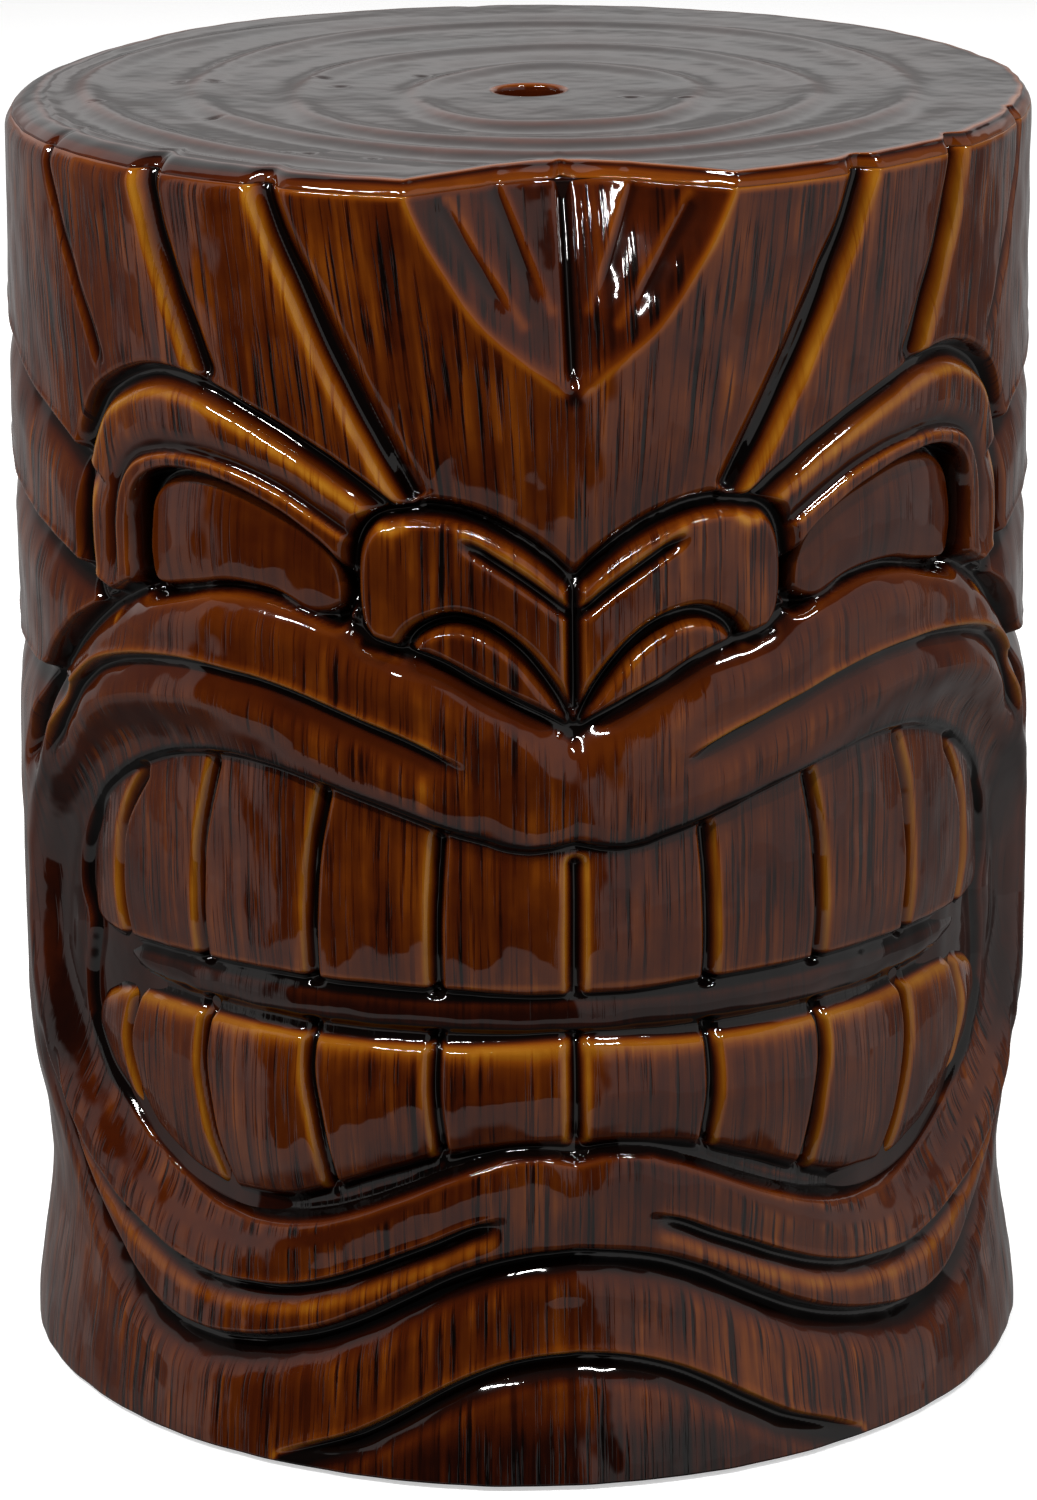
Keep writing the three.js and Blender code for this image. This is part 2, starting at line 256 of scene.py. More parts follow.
def carve_hair(c):
    c.level += tuft_depth(DEG, ZZ)
    edge = [(-angle, z) for angle, z in zip(TUFT_HALF_ANGLES[3::-1], TUFT_HEIGHTS[3::-1])]
    edge += list(zip(TUFT_HALF_ANGLES[1:], TUFT_HEIGHTS[1:]))
    signed, _, _ = measure(spline(edge), 6.0)
    outline = (0.7 + 0.25 * smooth(395.0, 430.0, ZZ)) * hump(signed, -0.8, 1.5)
    np.maximum(c.honey, outline, out=c.honey)
    # the tuft itself is darker
    np.maximum(c.pool, 0.32 * smooth(0.3, 2.5, tuft_depth(DEG, ZZ)), out=c.pool)
    drip = hump(ZZ, 367.0, 3.0) * hump(DEG, 0.0, 0.9)
    np.maximum(c.pool, 0.9 * drip, out=c.pool)
    np.minimum(c.grain, smooth(0.5, 3.0, np.abs(signed)), out=c.grain)
    # the forehead falls back towards its pointed foot
    foot = [(0, 307), (3, 316), (6, 322.5), (10, 328), (14, 330.7), (17.2, 333), (20, 350), (23, 367),
            (26, 384), (28.8, 400)]
    above, _, _ = measure(spline(foot), 36.0)
    lean = np.where(above > 0.0, np.clip(1.0 - above / 34.0, 0.0, 1.0) ** 2, 0.0)
    c.level += 3.2 * lean * (1.0 - smooth(380.0, 425.0, ZZ))
    # flutes of the tuft, fanning out of its apex
    c.gouge([(0, 368), (0, 395), (0, 434)], 4.5, 3.0, 3.0, floor=0.9, fade_in=8, honey=(0.4, 0.4))
    for flute in (
        [(3.0, 393), (5.9, 413), (8.9, 432)],
        [(6.0, 389), (10.3, 408.5), (14.4, 428)],
    ):
        c.gouge(flute, 2.4, 3.0, 6.5, floor=0.3, fade_in=14, fade_out=5, honey=(1.0, 0.0), dark=0.6,
                reach=(0.0, 0.6), soft=1.7)
        # the clay each flute pushed up lies under a thin glaze
        c.clear([(angle - 0.9, z) for angle, z in flute], 2.0, 1.0)
    # strands each side of the forehead
    for strand in (
        [(17.3, 333), (20.7, 350), (23.9, 367), (26.9, 384), (29.4, 400), (31.6, 413), (34.6, 434)],
        [(41.0, 363), (43.8, 381), (46, 395), (47.8, 408), (49.6, 426), (50.2, 434)],
    ):
        c.gouge(strand, 7.0, 7.5, 4.6, floor=1.3, curve=1.6, fade_in=0.25 * (strand[0][0] - 15.0),
                honey=(0.1, 1.0), reach=(0.35, 0.1), soft=1.7)
    # a thin crease beyond them
    c.gouge([(57, 362), (59.5, 377), (62, 390), (64.5, 404), (67, 418), (69, 434)], 3.0, 4.0, 2.5,
            floor=0.4, fade_in=8, honey=(0.0, 0.3), dark=0.7)


def carve_locks(c):
    """Locks of hair that sweep back from the mask, each lapping over the one below."""
    for root in (
        [(61, 331), (67.5, 339.5), (74, 346), (80, 353), (90, 364), (103, 376), (120, 388), (145, 399),
         (180, 404)],
        [(57, 289), (64, 295), (70, 299.5), (77, 304.5), (85, 311), (97, 322), (112, 334), (135, 346),
         (180, 354)],
        [(70, 252), (76, 250.5), (82, 251), (90, 254), (102, 264), (118, 278), (140, 291), (180, 300)],
    ):
        c.gouge(root, 6.0, 2.0, 20, floor=0.6, curve=1.7, honey=(0.5, 0.0), reach=(0.2, 0.45), bead=0.8)
    # where the locks of both sides meet at the back
    c.gouge([(180, 440), (180, 400), (180, 340), (180, 290)], 4.0, 6, 6, floor=1.0)


def carve_brow_and_eye(c):
    # the eye's socket, then the eyeball in it
    c.panel([(24.5, 297), (24.5, 306), (26.5, 315), (31, 324.5), (36, 331), (41, 334.5), (46, 335),
             (50, 331), (52.2, 323), (52.8, 311), (52.6, 299), (51.8, 290), (47, 292.5), (42, 296.5),
             (36, 297.5), (30, 294), (26, 290)], 13.0, 2.4, pool=1.0, grain=0.3)
    c.panel([(25.4, 297), (25.7, 308.5), (28, 318), (32.3, 325.3), (37.6, 330.6), (43, 333.2), (47.9, 331.4),
             (50.9, 324), (51.8, 313), (51.7, 303), (50.4, 294.5), (45, 296.5), (40, 299.5), (34, 298.5),
             (29, 293)], 6.5, 3.4, pool=0.0, dome=2.2, dome_width=15.0, grain=0.25)
    # the brow's upper and outer edge, and the line between it and the lid
    c.gouge([(19.5, 330), (24, 339.5), (30, 350), (36, 358), (42, 364), (47.5, 366), (52.3, 363),
             (57.4, 354.5), (60.4, 342), (61.7, 328), (61.9, 313), (61.7, 300), (60.6, 288), (59, 283)],
            6.0, 2.6, 7.0, floor=1.4, honey=(0.0, 0.95), reach=(0.4, 0.2), soft=1.5)
    c.gouge([(22.6, 318), (28, 328), (33, 335.5), (38, 339.8), (43.5, 341.8), (48.5, 340.5),
             (52.6, 335.5), (54.9, 326), (55.7, 313), (55.7, 301), (55.4, 290)], 3.0, 9, 1.8, floor=0.4,
            fade_in=10, fade_out=14, honey=(0.0, 0.85), dark=0.6, reach=(0.4, 0.1), soft=1.4)


def carve_nose(c):
    # under the forehead, over the wing and down its outer side
    c.gouge([(0, 306), (3, 314.5), (6, 321), (10, 327), (14, 330), (18, 329.8), (21.8, 326.5),
             (23.6, 318), (24, 305), (23.6, 293), (22, 285)], 8.0, 4.0, 4.0, floor=1.1,
            honey=(0.0, 0.4), reach=(0.25, 0.25))
    # the thin leaf between the forehead and the wing
    c.gouge([(0, 295), (3, 302.5), (6, 309), (9, 315), (12.5, 321.5)], 5.0, 2.4, 2.0, floor=0.7,
            fade_out=10, honey=(1.0, 0.0), dark=1.0, soft=1.5)
    c.clear([(1.5, 300.5), (3.2, 307), (5.5, 312.5), (8.8, 318.5), (11.8, 323)], 2.0, 0.9)
    # between the wings
    c.gouge([(0, 306), (0, 290), (0, 266)], 7.5, 4.0, 4.0, floor=0.8, honey=(0.7, 0.7))
    # nostril arch, and the groove that closes it below
    c.gouge([(0, 258), (1.5, 268), (3.5, 277), (6, 285.5), (9, 292), (12, 295), (14.5, 294.5),
             (17, 290.5), (18.6, 284)], 8.5, 4.0, 4.0, floor=0.7, honey=(0.75, 0.1), reach=(0.25, 0.15))
    c.gouge([(17.5, 284), (20, 283.5), (23, 285.5)], 7.0, 2.6, 2.6, floor=1.0)


def carve_cheek(c):
    # the cheek's upper edge under the nose and eye, then the ridge along its middle
    c.gouge([(0, 256.5), (2, 261), (5, 265.5), (10, 273), (14, 279.5), (17.5, 283), (20, 284.5),
             (22.5, 287), (25, 292), (28, 296.5), (33, 299), (39, 300), (45, 298.5), (50, 295),
             (54, 290.5), (58, 284.5), (62, 277), (67, 266), (71, 255), (75, 242), (79, 226),
             (82, 208)], 8.5, 3.5, 15.0, floor=1.1, fade_out=20, honey=(0.0, 0.0), reach=(0.3, 0.12),
            curve=2.4)
    c.gouge([(11.5, 245), (16, 251.5), (20, 256.3), (25, 261.5), (30, 266.5), (35, 270), (40, 271.5),
             (45, 272), (50, 270.5), (55, 267.5), (60, 262), (64, 254), (68, 242),
             (72, 228), (75, 214)], 5.0, 2.2, 13.0, floor=0.5, fade_in=14, fade_out=24, honey=(1.0, 0.0),
            reach=(0.05, 0.16), bead=1.2, soft=1.7)


LIP_ABOVE_TEETH = [(5, 218.8), (10, 222), (15, 226), (20, 230.8), (25, 235), (30, 238.5), (36, 241),
                   (42, 241), (48, 238), (54, 232.5), (60, 224), (66, 212), (70.5, 199)]
LIP_BELOW_TEETH = [(68.5, 116), (62, 102), (55, 91.5), (48, 84.5), (42, 82.5), (36, 83.5), (30, 87.5),
                   (25, 93), (20, 99.5), (15, 106.5), (10, 112.5), (5, 116)]
# the grooves between the teeth of the upper row, then of the lower
GROOVES = (
    [(0, 213.5), (0, 190), (0, 170.5)],
    [(14.6, 222), (15.1, 195), (15.2, 170.5)],
    [(28.2, 233.5), (29.8, 205), (30.3, 169.5)],
    [(43.7, 237), (46.3, 205), (46.8, 167.3)],
    [(56.9, 225), (61, 208), (62.7, 188), (62.4, 164)],
    [(0, 156), (0, 140), (0, 121)],
    [(15.4, 155), (15.5, 135), (14.9, 115.5)],
    [(30.7, 154), (30.8, 138), (29.6, 119), (28.4, 99.5)],
    [(46.4, 152), (47, 133), (46, 114), (43.8, 90.5)],
    [(60.4, 149.5), (62.2, 130), (61, 112), (58.5, 100.5)],
)


def carve_mouth(c):
    # the mouth sinks in towards its corners
    bowl = 11.0 * smooth(18.0, 62.0, DEG)
    c.panel([(-12, 190), (5, 205), (15, 226), (25, 240), (35, 250), (46, 252), (58, 244), (68, 226),
             (76, 200), (79, 172), (79, 145), (75, 118), (66, 96), (56, 80), (46, 74), (36, 76),
             (26, 86), (16, 104), (5, 125), (-12, 140)], bowl, 20.0, pool=0.0)
    # the hollow at the corners of the mouth is darker
    hollow = hump(DEG, 76.0, 5.5) * smooth(88.0, 118.0, ZZ) * (1.0 - smooth(205.0, 240.0, ZZ))
    np.maximum(c.pool, 0.42 * hollow, out=c.pool)
    np.minimum(c.grain, 1.0 - 0.85 * hollow, out=c.grain)
    teeth_level = 4.0 + 10.0 * smooth(2.0, 62.0, DEG)
    # the dark channel that both rows stand up out of
    channel = teeth_level + 3.5 - 1.0 * smooth(48.0, 66.0, DEG)
    c.panel([(-12, 217), *LIP_ABOVE_TEETH, (73, 188), (73.5, 174), (71.5, 163), (72, 154), (73, 143),
             (72.5, 130), *LIP_BELOW_TEETH, (-12, 118)], channel, 3.2,
            pool=1.0, pool_width=3.2, shoulder=1.2, shoulder_width=9.0)
    # the upper row runs up behind the lip, and both rows turn under towards their lower edges
    c.panel([(-12, 217), *LIP_ABOVE_TEETH[:-1], (69.5, 197), (71.3, 180), (70.5, 166.5), (66, 163.5),
             (60, 164.8), (46, 168), (30, 170), (15, 171), (-12, 171.2)], teeth_level, 2.2,
            pool=1.0, pool_width=3.4, dome=2.0, dome_width=22.0, grain=0.7, raised=True)
    c.panel([(-12, 152.8), (15, 151.8), (30, 150.3), (46, 149), (57, 147.4), (64, 144.4), (69, 139),
             (71, 131), (70.5, 124), (66, 112), (60, 103), (55, 96), (50, 91), (45, 88.5), (40, 89.5),
             (35, 91.5), (30, 96.5), (25, 103), (20, 109), (14, 115), (5, 119), (-12, 120.5)],
            teeth_level, 4.6, pool=1.0, pool_width=2.8, dome=2.6, dome_width=22.0, grain=0.7, raised=True)
    # glaze has run off the teeth's edges towards the gap
    c.clear([(-3, 152), (15, 151), (30, 149.6), (46, 148.2), (57, 146.6), (64, 143.8), (67.5, 140)],
            4.4, 0.9)
    c.clear([(-3, 173), (15, 172.8), (30, 171.8), (46, 169.8), (60, 166.6), (66, 165.3)], 1.3, 0.6)
    for groove in GROOVES:
        c.gouge(groove, 5.0, 4.2, 1.8, floor=0.9, curve=1.8, honey=(1.0, 0.5), dark=1.0, reach=(0.12, 0.2),
                soft=1.3)
    # the tongue of clay between the rows
    c.panel([(-12, 169.2), (15, 169), (30, 168), (46, 166), (56, 164), (61, 162), (64, 158), (61.5, 153.5),
             (56, 152.8), (46, 153.6), (30, 155), (15, 156.4), (-12, 157)], 3.0 + teeth_level, 1.8,
            pool=1.0, pool_width=1.8, dome=2.0, dome_width=6.0, grain=0.15)
    middle, _, _ = measure(spline([(-3, 163), (15, 162.6), (30, 161.5), (46, 159.8), (62, 158)]), 12.0)
    np.maximum(c.pool, 0.45 * hump(middle, 0.0, 6.0), out=c.pool)


def carve_lips_and_chin(c):
    # the crease in the lower lip, the lip's lower edge, and the arch of the chin
    c.gouge([(7.5, 93.5), (12, 89), (16, 83), (20, 77.5), (25, 70.5), (30, 64.5), (35, 60.5), (40, 59),
             (45, 58.7), (50, 61), (55, 65.5), (60, 70.5), (65, 78), (70, 88), (74, 101), (77, 118)],
            5.5, 1.8, 9.0, floor=0.5, fade_in=14, fade_out=30, honey=(0.5, 0.6), reach=(0.1, 0.5),
            bead=0.9, soft=1.5)
    c.gouge([(0, 79.5), (5, 78), (10, 74.5), (15, 68.5), (20, 60.5), (25, 52.5), (30, 46), (35, 41.5),
             (40, 38.5), (45, 37), (50, 38), (55, 42), (60, 50), (65, 60), (70, 73), (74, 88),
             (78, 106), (80, 124)], 8.0, 4.0, 13.0, floor=0.9, fade_out=30, honey=(0.1, 0.0),
            reach=(0.5, 0.55))
    # the arch of the chin: its wide reach on the lower side paints a shadow under the arch
    c.gouge([(0, 44), (5, 42.5), (10, 38.5), (15, 31.5), (20, 22.5), (25, 14), (30, 8), (34, 3)],
            6.0, 2.8, 10.0, floor=0.7, honey=(0.9, 0.0), reach=(0.1, 0.85), bead=0.8, soft=1.3)
    # a painted shadow under the chin's arch, laid in as dark glaze
    painted_chin_shadow = np.exp(-((DEG / 21.0) ** 4)) * (1.0 - smooth(14.0, 30.0, ZZ + 0.02 * DEG ** 2))
    np.maximum(c.pool, 0.5 * painted_chin_shadow, out=c.pool)


def carved_half():
    c = Carving()
    carve_hair(c)
    carve_locks(c)
    carve_cheek(c)
    carve_brow_and_eye(c)
    carve_nose(c)
    carve_mouth(c)
    carve_lips_and_chin(c)
    # few chisel strokes were made on the cheeks
    cheek = smooth(22.0, 34.0, DEG) * smooth(236.0, 246.0, ZZ) * (1.0 - smooth(286.0, 300.0, ZZ))
    c.grain *= 1.0 - 0.55 * cheek * (1.0 - smooth(66.0, 74.0, DEG))
    # the skin swells beside the mouth
    side = hump(DEG, 84.0, 12.0) * smooth(80.0, 120.0, ZZ) * (1.0 - smooth(210.0, 262.0, ZZ))
    c.level -= 2.2 * side
    return c


def blur(field, sigma):
    """Gaussian blur of a full ring of skin, in millimetres. Rows repeat past the top and bottom."""
    for axis, step in ((0, Z[1] - Z[0]), (1, MASK_STEP)):
        radius = max(1, int(sigma / step * 3))
        k = np.exp(-0.5 * (np.arange(-radius, radius + 1) * step / sigma) ** 2)
        k /= k.sum()
        if axis == 0:
            padded = np.pad(field, ((radius, radius), (0, 0)), mode="edge")
            field = sum(w * padded[i:i + field.shape[0]] for i, w in enumerate(k))
        else:
            padded = np.pad(field, ((0, 0), (radius, radius)), mode="wrap")
            field = sum(w * padded[:, i:i + field.shape[1]] for i, w in enumerate(k))
    return field


def ring(half):
    """The whole way round: the half and its mirror image, starting at the mask's centre line."""
    return np.concatenate([half, half[:, -2:0:-1]], axis=1)


def ring_degrees(rows):
    """Angles of the ring's columns, from the mask's centre line round and back to it, for some rows."""
    around_once = np.concatenate([X, -X[-2:0:-1]]) / DEGREE
    return np.broadcast_to(around_once, (rows, len(around_once)))


# how far in and how far down the rounded rim reaches, and how much farther at its soft left shoulder
RIM_WIDE = 4.2
RIM_TALL = 8.0
SHOULDER_WIDE = 8.8
SHOULDER_TALL = 3.0


def rim_shape(degrees):
    """The rim's width and height at these angles, and how fully it is a broad soft shoulder there."""
    left = smooth(14.0, 44.0, -degrees) * (1.0 - smooth(112.0, 150.0, -degrees))
    return RIM_WIDE + SHOULDER_WIDE * left, RIM_TALL + SHOULDER_TALL * left, left


def rim_inset(degrees, z):
    wide, tall, _ = rim_shape(degrees)
    t = np.clip((z - HEIGHT + tall) / tall, 0.0, 1.0)
    return wide * (1.0 - np.sqrt(1.0 - t * t))


def skin_radius(z):
    waist = WAIST_INSET * hump(z, WAIST_HEIGHT, WAIST_SPREAD)
    flare = FOOT_FLARE * hump(z, 0.0, FOOT_FLARE_HEIGHT)
    return SKIN_RADIUS - waist + flare


def hand_wobble(degrees, z):
    """Unevenness left by hand and by the kiln."""
    a = np.radians(degrees)
    slow = (0.35 * np.sin(3 * a + z / 61.0 + 0.4) + 0.25 * np.sin(7 * a - z / 37.0 + 2.1)
            + 0.2 * np.sin(11 * a + z / 23.0 + 4.0))
    quick = (0.1 * np.sin(41 * a + z / 5.3 + 1.3) + 0.09 * np.sin(29 * a - z / 4.1 + 0.7)
             + 0.07 * np.sin(67 * a + 3.0 * np.sin(z / 19.0)))
    return slow + quick


def grain_lines(degrees):
    """Which way the chisel strokes run: a place on a plain drum, sheared to follow the hair."""
    fan = 0.04 * np.clip(degrees / 17.2, 0.0, 1.0) * (1.0 - smooth(70.0, 110.0, degrees))
    return degrees - fan * np.clip(Z[:, None] - 334.0, 0.0, None)


# thickness of the glaze where it lies flat, what a full pool and the painted shade around it add, and what a
# clear edge takes away
FLAT_GLAZE = 0.53
POOLED_AND_SHADED = 0.47
THINNED = 0.46


def wall_skin():
    """Radius of the skin over rows and columns, and the glaze thickness (with painted shade in it) and grain
    laid on it.
    """
    c = carved_half()
    depth = ring(c.depth())
    fine = depth - blur(depth, 1.6)
    # glaze softens every edge and fills the narrowest cuts
    depth = blur(depth, 0.65) - 0.25 * np.clip(fine, 0.0, 3.0)
    depth = depth * smooth(WALL_BOTTOM, 14.0, Z)[:, None]
    degrees = ring_degrees(len(Z))
    heights = Z[:, None]
    plain = skin_radius(heights) + hand_wobble(degrees, heights)
    radii = plain - depth - rim_inset(degrees, heights)
    # it gathers in hollows; a wide soft painted shade is laid around them
    hollow = np.clip(fine / 0.9, 0.0, 1.0)
    pool = ring(c.pool)
    painted_shade = 0.4 * blur(pool, 4.0)
    pool = np.maximum(blur(pool, 0.5), 0.55 * hollow)
    # and runs thin over crests and at the top
    crest = np.clip(-fine / 0.7, 0.0, 1.0)
    honey = ring(c.honey)
    honey = np.maximum(blur(honey, 0.45), 0.65 * blur(honey, 2.4))
    honey = np.maximum(honey, 0.28 * crest) * (1.0 - pool)
    top_edge = smooth(WALL_TOP - 2.6, WALL_TOP - 0.4, heights)
    _, _, left = rim_shape(degrees)
    honey = np.maximum(honey, (0.75 - 0.4 * left) * top_edge * (1.0 - pool))
    thickness = FLAT_GLAZE + POOLED_AND_SHADED * np.maximum(pool, painted_shade * (1.0 - honey)) - THINNED * honey
    grain = blur(ring(c.grain), 0.6) * (1.0 - top_edge) * (1.0 - 0.65 * honey)
    return radii, thickness, grain


# ---------------------------------------------------------------- meshes
def link(name, data):
    obj = bpy.data.objects.new(name, data)
    bpy.context.scene.collection.objects.link(obj)
    return obj


def closed_skin(rows, columns):
    """Quads of a grid of points stored row by row, with its rows and its columns closing on themselves."""
    r, k = np.meshgrid(np.arange(rows), np.arange(columns), indexing="ij")
    below, after = (r + 1) % rows, (k + 1) % columns
    quads = [r * columns + k, r * columns + after, below * columns + after, below * columns + k]
    return np.stack(quads, -1).reshape(-1, 4)


def mesh_from(name, points, quads):
    mesh = bpy.data.meshes.new(name)
    mesh.vertices.add(len(points))
    mesh.vertices.foreach_set("co", np.asarray(points, np.float32).ravel())
    mesh.loops.add(quads.size)
    mesh.loops.foreach_set("vertex_index", quads.ravel().astype(np.int32))
    mesh.polygons.add(len(quads))
    mesh.polygons.foreach_set("loop_start", np.arange(0, quads.size, 4, dtype=np.int32))
    mesh.update(calc_edges=True)
    mesh.validate()
    mesh.polygons.foreach_set("use_smooth", np.full(len(quads), True))
    return mesh


def store(mesh, name, values, kind="FLOAT"):
    attribute = mesh.attributes.new(name, kind, "POINT")
    key = "value" if kind == "FLOAT" else "vector"
    attribute.data.foreach_set(key, np.asarray(values, np.float32).ravel())


def around(radii, degrees, heights):
    """Points in millimetres at these radii, angles from the mask's centre line, and heights."""
    angle = np.radians(degrees)
    radii, angle, heights = np.broadcast_arrays(radii, angle, heights)
    return np.stack([radii * np.sin(angle), -radii * np.cos(angle), heights], -1)


HIDDEN_GLAZE = 0.7  # thickness on the faces that don't show


def inner_radii(radii, heights):
    """A smooth inside for the wall, clear of the deepest carving near each place."""
    rows = np.searchsorted(Z, heights).clip(0, len(Z) - 1)
    reach = int(16 / (Z[1] - Z[0]))
    low = np.stack([radii[max(0, r - reach):r + reach + 1].min(axis=0) for r in rows])
    spread = int(14 / MASK_STEP)
    padded = np.pad(low, ((0, 0), (spread, spread)), mode="wrap")
    low = np.min([padded[:, i:i + low.shape[1]] for i in range(0, 2 * spread + 1, 3)], axis=0)
    return blur(low, 5.0) - WALL_THICKNESS


def drum_wall():
    """The wall as one closed skin, and the radii of its top edge, which the seat sits on."""
    radii, thickness, grain = wall_skin()
    rows, columns = radii.shape
    inner_z = np.linspace(WALL_TOP - 1.0, WALL_BOTTOM + 1.0, 12)
    inner = inner_radii(radii, inner_z)
    heights = np.concatenate([Z, [WALL_TOP + 0.1] * 2, inner_z, [WALL_BOTTOM] * 2])
    degrees = ring_degrees(len(heights))
    top_lip = [radii[-1] - 1.0, inner[0] + 1.0]
    foot_lip = [inner[-1] + 1.0, radii[0] - 1.0]
    points = around(np.concatenate([radii, top_lip, inner, foot_lip]), degrees, heights[:, None])
    mesh = mesh_from("glazed_wall", points.reshape(-1, 3) * MM, closed_skin(len(points), columns))
    rest = (len(points) - rows, columns)
    store(mesh, "glaze", np.concatenate([thickness, np.full(rest, HIDDEN_GLAZE)]))
    store(mesh, "grain_amount", np.concatenate([grain, np.zeros(rest)]))
    side = np.where(degrees[:rows] < 0.0, -1.0, 1.0)
    grain_place = around(SKIN_RADIUS, side * grain_lines(np.abs(degrees[:rows])), Z[:, None])
    grain_place = np.concatenate([grain_place, np.zeros((*rest, 3))])
    store(mesh, "grain_place", grain_place * MM, "FLOAT_VECTOR")
    return link("glazed_wall", mesh), radii[-1]


# growth rings: centre, radius across, and how much longer they are fore and aft
RINGS = (
    (11.0, -20.0, 46.0, 1.2),
    (10.5, -16.0, 84.0, 1.09),
    (12.0, -1.0, 117.0, 1.08),
    (9.0, 0.0, 152.0, 1.0),
)
RING_RISE = 1.5
PITS = ((-101, 20), (-104, -47), (-77, -113), (-58, -124), (-141, -16), (-59, 6), (-64, 20), (-112, 24),
        (52, -35), (35, -28), (8, 42), (-30, 25), (-84, -112))
PIT_DEPTH = 0.9


def seat_rings(x, y):
    """Height of the soft growth rings and pits, in millimetres, and how near each place is to a crest."""
    height = np.zeros(x.shape)
    crest = np.zeros(x.shape)
    for number, (cx, cy, radius, longer) in enumerate(RINGS):
        angle = np.arctan2((y - cy) / longer, x - cx)
        wander = 1.6 * np.sin(2 * angle + number) + 1.0 * np.sin(5 * angle + 2.0 * number)
        d = np.hypot(x - cx, (y - cy) / longer) - radius - wander
        if number < len(RINGS) - 1:
            part = 0.45 + 0.55 * np.abs(np.sin(angle))
        else:  # the outermost shows only at the mask's right hand
            part = smooth(0.2, 0.9, -np.cos(angle))
        height += part * RING_RISE * (hump(d, 0.0, 5.0) - 0.5 * hump(d, 10.0, 7.0))
        crest += part * hump(d, 2.0, 2.6)
    for px, py in PITS:
        height -= PIT_DEPTH * hump(x, px, 2.2) * hump(y, py, 1.1)
    return height, crest


# thickness of the glaze on the seat
HOLE_WALL_GLAZE = 0.6
HOLE_LIP_GLAZE = (0.35, 0.3)
TOP_GLAZE = 0.8
EDGE_GLAZE = 0.45
RIM_GLAZE = 0.37
# rows of the rounded rim, from the top (0) down to the wall (1)
RIM_ROWS = (0.0, 0.08, 0.18, 0.3, 0.42, 0.54, 0.66, 0.78, 0.89, 1.0)


def seat(wall_top):
    """The slab on top: from the drain hole out over the growth rings to its edge and the rim below it."""
    degrees = ring_degrees(1)[0][::2]
    outline = wall_top[::2]
    wide, tall, left = rim_shape(degrees)
    turned = np.abs(degrees)
    # the wall's own grooves run on over the rim and fade out on the top
    seam_inset = rim_inset(degrees, WALL_TOP)
    groove = np.clip(SKIN_RADIUS - tuft_depth(turned, WALL_TOP) - seam_inset - outline, -1.5, 8.0)
    turn = np.radians(degrees)
    uneven = 0.5 * np.sin(9 * turn) + 0.35 * np.sin(23 * turn + 1) + 0.25 * np.sin(61 * turn + 2)
    edge = SKIN_RADIUS - tuft_depth(turned, HEIGHT) - wide - 0.45 * groove + uneven
    hole = SEAT_HOLE_RADIUS
    steps = 150
    radii, heights, kinds = [], [], []

    def row(radius, height, glaze):
        radii.append(np.broadcast_to(radius, degrees.shape))
        heights.append(np.broadcast_to(height, degrees.shape))
        kinds.append(np.broadcast_to(glaze, degrees.shape))

    for z in (SEAT_BOTTOM, SEAT_BOTTOM + 3, HEIGHT - 3.0, HEIGHT - 1.5):
        row(hole, z, HOLE_WALL_GLAZE)
    row(hole + 0.4, HEIGHT - 0.6, HOLE_LIP_GLAZE[0])
    row(hole + 1.2, HEIGHT - 0.1, HOLE_LIP_GLAZE[1])
    for t in np.linspace(0.0, 1.0, steps):
        row(hole + 2.2 + (edge - hole - 4.0) * t, HEIGHT, TOP_GLAZE)
    # over the edge and down the rounded rim to the wall: amber, with a dark stripe halfway
    row(edge - 0.9, HEIGHT - 0.1, EDGE_GLAZE + 0.3 * left)
    low_turn = np.arcsin(1.0 - (HEIGHT - WALL_TOP) / tall)
    for t in RIM_ROWS:
        roll = math.pi / 2 + (low_turn - math.pi / 2) * t
        z = HEIGHT - tall * (1.0 - np.sin(roll))
        hollow = 0.7 * hump(t, 0.5, 0.22) * (1.0 - left)
        plain = SKIN_RADIUS - tuft_depth(turned, z) - wide * (1.0 - np.cos(roll))
        blend_in = (1.0 - t) * uneven - (0.45 + 0.55 * t) * groove
        crease = 0.5 * hump(t, 0.0, 0.12) * left
        amber = hump(t, 0.06, 0.13) + 0.8 * smooth(0.8, 1.0, t)
        glaze = RIM_GLAZE + 0.36 * hump(t, 0.42, 0.14) - 0.15 * amber * (1.0 - 0.7 * left)
        glaze = glaze + left * (0.22 + 0.3 * hump(t, 0.0, 0.1))
        row(plain + blend_in - hollow, z - 0.15 - crease, glaze)
    row(outline - 3.0, WALL_TOP - 0.2, HIDDEN_GLAZE)
    row(SEAT_PLUG_RADIUS, WALL_TOP - 1.0, HIDDEN_GLAZE)
    row(SEAT_PLUG_RADIUS, SEAT_BOTTOM, HIDDEN_GLAZE)
    radii, heights, kinds = np.stack(radii), np.stack(heights), np.stack(kinds)
    points = around(radii, degrees[None, :], heights)
    # the hole is off centre, so the rows near it are moved aside with it
    aside = 1.0 - smooth(40.0, 90.0, radii)
    points[..., 0] += DRAIN_CENTRE[0] * aside
    points[..., 1] += DRAIN_CENTRE[1] * aside
    rise, crest = seat_rings(points[..., 0], points[..., 1])
    on_top = (heights > HEIGHT - 0.05) * smooth(0.0, 6.0, edge[None, :] - radii) * smooth(13.0, 20.0, radii)
    points[..., 2] += rise * on_top
    kinds = kinds - 0.22 * crest * on_top
    rows, columns = radii.shape
    mesh = mesh_from("glazed_seat", points.reshape(-1, 3) * MM, closed_skin(rows, columns))
    store(mesh, "glaze", kinds)
    store(mesh, "grain_amount", np.zeros(kinds.shape))  # no chisel strokes here
    store(mesh, "grain_place", points * MM, "FLOAT_VECTOR")
    return link("glazed_seat", mesh)


